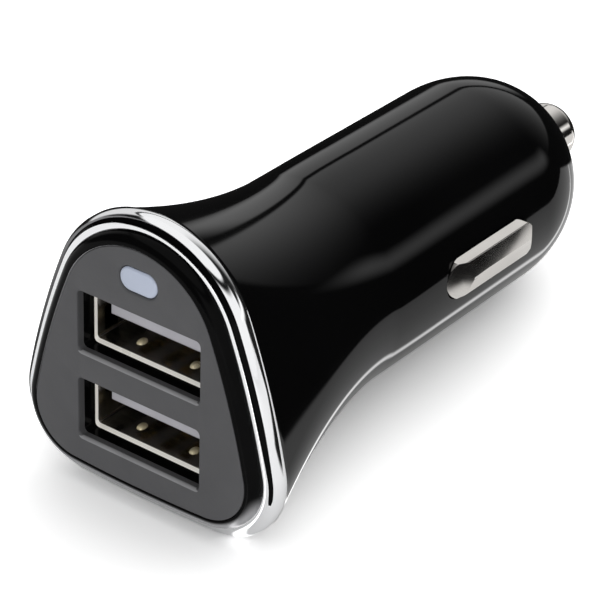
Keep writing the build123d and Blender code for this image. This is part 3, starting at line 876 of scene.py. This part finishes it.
def buildCoil(c, place, perTurn=28, sides=10):
    low, high = c["seats"][0] + c["wire"], c["seats"][1] - c["wire"]
    steps = round((high - low) / c["pitch"] * perTurn)
    rise = math.atan2(c["pitch"], math.tau * c["radius"])
    rings = []
    for k in range(steps + 1):
        turn = math.tau * k / perTurn
        ring = []
        for i in range(sides):
            a = math.tau * i / sides
            out = c["radius"] + c["wire"] * math.cos(a)
            side = c["wire"] * math.sin(a)
            along = low + (high - low) * k / steps + side * math.cos(rise)
            around = turn - side * math.sin(rise) / c["radius"]
            ring.append(place(out * math.cos(around), out * math.sin(around), along))
        rings.append(ring)
    verts, faces = skin(rings)
    cap(verts, faces, 0, sides)
    cap(verts, faces, len(verts) - sides, sides)
    return verts, faces


def addCoil(name, c, place):
    spring = meshFrom(f"{name}_coil", *buildCoil(c, place), "plug", name, "spring_steel", smooth=60)
    wear(spring, springSteel)
    near, far = c["seats"]
    Vector(place(0, 0, near)) * mm
    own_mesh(spring)


def towards(side, c):
    # places a coil along X, behind the shoe on that side
    return lambda a, b, h: (side * h, c["midY"] + a, shoeShape["midZ"] + b)


addCoil("tip_spring", coils["tip_spring"], lambda a, b, h: (a, h, b))
sideCoil = coils["side_spring"]
for place, side in (("left", -1), ("right", 1)):
    addCoil(f"side_spring_{place}", sideCoil, towards(side, sideCoil))
print("contacts done")

# camera as in the photograph: angles in degrees, distance and aim (a point on the plug) in millimetres,
# focal length, image and aimPixel in pixels
cameraView = {
    "azimuth": 36.85, "elevation": 30.71, "roll": 1.84, "distance": 250.5, "aim": (0, -22.82, 0),
    "focal": 3023, "image": 605, "aimPixel": (139.1, 388.9), "sensor": 36, "nearest": 0.01,
}


def placeCamera(c):
    a, e, r = (math.radians(c[k]) for k in ("azimuth", "elevation", "roll"))
    back = Vector((math.sin(a) * math.cos(e), -math.cos(a) * math.cos(e), math.sin(e)))
    right = Vector((math.cos(a), math.sin(a), 0))
    up = back.cross(right)
    turned = right * math.cos(r) + up * math.sin(r)
    upright = up * math.cos(r) - right * math.sin(r)
    middle = c["image"] / 2
    shiftX = -(c["aimPixel"][0] - middle) / c["focal"] * c["distance"]
    shiftY = (c["aimPixel"][1] - middle) / c["focal"] * c["distance"]
    spot = Vector(c["aim"]) + back * c["distance"] + turned * shiftX + upright * shiftY
    data = bpy.data.cameras.new("camera")
    data.sensor_width = c["sensor"]
    data.lens = c["focal"] / c["image"] * c["sensor"]
    data.clip_start = c["nearest"]
    cam = bpy.data.objects.new("camera", data)
    scene.collection.objects.link(cam)
    m = Matrix((turned, upright, back)).transposed().to_4x4()
    m.translation = spot * mm
    cam.matrix_world = m
    scene.camera = cam


placeCamera(cameraView)

# floor: pale sheet under the ring and the nose, so it leans with the plug
floorShape = {"frontY": -20.6, "frontZ": -12.26, "backY": 24.5, "backZ": -10.12, "size": 900}


def buildFloor(f):
    slope = (f["backZ"] - f["frontZ"]) / (f["backY"] - f["frontY"])
    s = f["size"]
    pts = []
    for x, y in ((-s, -s), (s, -s), (s, s), (-s, s)):
        pts.append((x * mm, y * mm, (f["frontZ"] + slope * (y - f["frontY"])) * mm))
    me = bpy.data.meshes.new("floor")
    me.from_pydata(pts, [], [(0, 1, 2, 3)])
    obj = bpy.data.objects.new("floor", me)
    scene.collection.objects.link(obj)
    return obj


floor = buildFloor(floorShape)

# what gloss sees of the floor ends at a dark edge right of the plug and behind its nose;
# each edge as its place and softness (millimetres)
sheetEdge = {
    "right": (26, 0.6), "rightLean": 0.12, "back": (55, 2), "backLean": 1.4, "left": (-26, 2),
    "front": (-3, 3), "far": (62, 6), "farBack": (0, 4), "farLean": 0.62,
}
# tones for the camera (seen), for mirrors and for all else (plain), with a painted glow: a bright line on the
# floor that only mirrors show, a painted reflection along the barrel
floorTone = {
    "plain": 0.5, "mirrored": 0.95, "seen": 1.62, "lift": 0.03, "dark": 0.012,
    "lineX": 9.6, "lineWide": 1.0, "line": 2.6, "rough": 0.9, "grain": 40,
}


def softEdge(tree, value, place, soft, start=0.0, end=1.0):
    return step(tree, value, place - soft, place + soft, start, end)


def floorMaterial(edge, tone):
    mat, tree, shader = nodeMaterial("paleFloor")
    out = tree.nodes["Material Output"]
    shader.inputs["Roughness"].default_value = tone["rough"]
    shader.inputs["Specular IOR Level"].default_value = 0.0
    grain = noiseNode(tree, tone["grain"], grainDetail)
    path = tree.nodes.new("ShaderNodeLightPath")
    glossy = path.outputs["Is Glossy Ray"]
    tint = colourRamp(tree, grain.outputs["Fac"], (0.98, 0.98, 0.98), (1, 1, 1))
    pale = tree.nodes.new("ShaderNodeVectorMath")
    pale.operation = "SCALE"
    plain = tone["plain"]
    level = mathNode(tree, "MULTIPLY_ADD", path.outputs["Is Camera Ray"], tone["seen"] - plain, plain)
    direct = mathNode(tree, "LESS_THAN", path.outputs["Diffuse Depth"], 0.5)
    level = mathNode(tree, "MULTIPLY_ADD", times(tree, glossy, direct), tone["mirrored"] - plain, level)
    tree.links.new(tint, pale.inputs[0])
    tree.links.new(level, pale.inputs["Scale"])
    tree.links.new(pale.outputs["Vector"], shader.inputs["Base Color"])
    shader.inputs["Emission Color"].default_value = (1, 1, 1, 1)
    shader.inputs["Emission Strength"].default_value = tone["lift"]
    coord = tree.nodes.new("ShaderNodeTexCoord")
    split = tree.nodes.new("ShaderNodeSeparateXYZ")
    tree.links.new(coord.outputs["Object"], split.inputs["Vector"])
    x = mathNode(tree, "MULTIPLY", split.outputs["X"], 1000)  # metres to millimetres
    y = mathNode(tree, "MULTIPLY", split.outputs["Y"], 1000)
    rightOf = mathNode(tree, "SUBTRACT", x, mathNode(tree, "MULTIPLY", y, edge["rightLean"]))
    behind = mathNode(tree, "SUBTRACT", y, mathNode(tree, "MULTIPLY", x, edge["backLean"]))
    inside = times(
        tree,
        softEdge(tree, rightOf, *edge["right"], 1, 0),
        softEdge(tree, behind, *edge["back"], 1, 0),
        softEdge(tree, x, *edge["left"]),
    )
    ahead = softEdge(tree, y, *edge["front"], 1, 0)
    across = mathNode(tree, "SUBTRACT", y, mathNode(tree, "MULTIPLY", x, edge["farLean"]))
    farRight = times(tree, softEdge(tree, x, *edge["far"]), softEdge(tree, across, *edge["farBack"], 1, 0))
    shown = mathNode(tree, "MAXIMUM", mathNode(tree, "MAXIMUM", inside, ahead), farRight)
    # painted glow: the bright line along the floor, lit for gloss rays only
    line = mathNode(tree, "ABSOLUTE", mathNode(tree, "SUBTRACT", x, tone["lineX"]))
    line = step(tree, line, 0, tone["lineWide"], tone["line"], 0)
    dark = tree.nodes.new("ShaderNodeEmission")
    dark.inputs["Color"].default_value = (tone["dark"], tone["dark"], tone["dark"], 1)
    glow = tree.nodes.new("ShaderNodeEmission")
    tree.links.new(mathNode(tree, "MULTIPLY", line, glossy), glow.inputs["Strength"])
    mix = tree.nodes.new("ShaderNodeMixShader")
    hidden = mathNode(tree, "SUBTRACT", 1.0, shown)
    tree.links.new(mathNode(tree, "MULTIPLY", glossy, hidden), mix.inputs["Fac"])
    add = tree.nodes.new("ShaderNodeAddShader")
    tree.links.new(shader.outputs["BSDF"], add.inputs[0])
    tree.links.new(glow.outputs["Emission"], add.inputs[1])
    tree.links.new(add.outputs["Shader"], mix.inputs[1])
    tree.links.new(dark.outputs["Emission"], mix.inputs[2])
    tree.links.new(mix.outputs["Shader"], out.inputs["Surface"])
    return mat


wear(floor, floorMaterial(sheetEdge, floorTone))

# lamps by place, aim, size and power; gloss shows the softboxes of the world, not these
lamps = {
    "overhead": {"at": (-60, 60, 420), "to": (0, 5, 0), "size": (520, 520), "power": 0.1},
    "front": {"at": (130, -380, 22), "to": (0, -23, 0), "size": (300, 60), "power": 0.9},
    "key": {"at": (240, -170, 350), "to": (0, 0, -5), "size": (420, 420), "power": 0.15},
}
for name, lamp in lamps.items():
    data = bpy.data.lights.new(name, "AREA")
    data.shape = "RECTANGLE"
    data.size, data.size_y = lamp["size"][0] * mm, lamp["size"][1] * mm
    data.energy = lamp["power"]
    obj = bpy.data.objects.new(name, data)
    scene.collection.objects.link(obj)
    obj.location = Vector(lamp["at"]) * mm
    aim = (Vector(lamp["to"]) - Vector(lamp["at"])).normalized()
    obj.rotation_euler = aim.to_track_quat("-Z", "Y").to_euler()
    obj.visible_glossy = False

# softboxes in the dark room, by heading from +Y towards +X and height above the horizon (degrees)
room = {
    "ambient": 0.95,
    "ambientAlong": (-0.3, 0.7, 0.4, 1.7),  # more of it comes from behind, so the shadow falls to the front
    "dark": 0.012,
    "panel": 0.95,  # big softbox behind and above, fading to the right
    "panelFade": (-22, 34),
    "panelEdge": (24, -38, 0.5, 9),  # its lower edge: height, heading, fall per degree, lowest
    "panelSoft": (-0.5, 1.5),
    "strip": 0.78,  # its lower neighbour beyond a thin dark gap
    "stripEnd": (-26, -14),
    "stripFoot": (-1, 5),
    "gap": 3.0,
    "gapSoft": (-1.5, 0.2),
    "rear": (-0.1, 0.1),  # panel, strip and side light are behind the plug (y of the direction)
    "side": 1.25,  # soft strip light on the right
    "sideAt": (13, 9, 26, 36),  # height, half width, and headings where it starts
    "overhead": 1.0,
    "overheadAt": (44, 50),
    "overheadEnd": (0.3, 0.5),  # it ends towards the back
    "card": 1.0,  # white card to the right of the camera
    "cardAcross": (58, 66, 150, 160),
    "cardLow": (-60, 2),
    "cardHigh": (35, 5),
}


def buildRoom(r):
    world = bpy.data.worlds.new("room")
    scene.world = world
    world.use_nodes = True
    tree = world.node_tree
    back = tree.nodes["Background"]
    coord = tree.nodes.new("ShaderNodeTexCoord")
    split = tree.nodes.new("ShaderNodeSeparateXYZ")
    tree.links.new(coord.outputs["Generated"], split.inputs["Vector"])
    x, y, z = (split.outputs[k] for k in "XYZ")
    az = mathNode(tree, "MULTIPLY", mathNode(tree, "ARCTAN2", x, y), 180 / math.pi)
    el = mathNode(tree, "MULTIPLY", mathNode(tree, "ARCSINE", z), 180 / math.pi)
    top, start, lean, least = r["panelEdge"]
    fall = mathNode(tree, "MULTIPLY", mathNode(tree, "SUBTRACT", az, start), lean)
    edge = mathNode(tree, "MAXIMUM", mathNode(tree, "SUBTRACT", top, fall), least)
    over = mathNode(tree, "SUBTRACT", el, edge)
    rearward = step(tree, y, *r["rear"])
    panel = times(
        tree, step(tree, over, *r["panelSoft"]), step(tree, az, *r["panelFade"], r["panel"], 0.0), rearward
    )
    gapLow, gapHigh = (soft - r["gap"] for soft in r["gapSoft"])
    strip = times(
        tree,
        step(tree, over, gapLow, gapHigh, 1, 0),
        step(tree, el, *r["stripFoot"]),
        step(tree, az, *r["stripEnd"], r["strip"], 0.0),
        rearward,
    )
    mid, wide, az0, az1 = r["sideAt"]
    off = mathNode(tree, "ABSOLUTE", mathNode(tree, "SUBTRACT", el, mid))
    side = times(tree, step(tree, off, 0, wide, r["side"], 0.0), step(tree, az, az0, az1), rearward)
    overhead = times(
        tree, step(tree, el, *r["overheadAt"], 0, r["overhead"]), step(tree, y, *r["overheadEnd"], 1, 0)
    )
    az0, az1, az2, az3 = r["cardAcross"]
    card = times(
        tree,
        step(tree, az, az0, az1, 0, r["card"]),
        step(tree, az, az2, az3, 1, 0),
        softEdge(tree, el, *r["cardLow"]),
        softEdge(tree, el, *r["cardHigh"], 1, 0),
    )
    seen = r["dark"]
    for part in (panel, strip, side, overhead, card):
        seen = mathNode(tree, "MAXIMUM", part, seen)
    path = tree.nodes.new("ShaderNodeLightPath")
    plain = mathNode(tree, "MAXIMUM", path.outputs["Is Camera Ray"], path.outputs["Is Transmission Ray"])
    glossy = path.outputs["Is Glossy Ray"]
    direct = mathNode(tree, "LESS_THAN", path.outputs["Diffuse Depth"], 0.5)  # no mirrored light on the floor
    ambient = step(tree, y, *r["ambientAlong"])
    around = times(tree, mathNode(tree, "SUBTRACT", 1.0, glossy), ambient, r["ambient"])
    mixed = mathNode(tree, "ADD", times(tree, glossy, seen, direct), around)
    tree.links.new(mathNode(tree, "MAXIMUM", plain, mixed), back.inputs["Strength"])
    back.inputs["Color"].default_value = (1, 1, 1, 1)


buildRoom(room)
print("stage done")
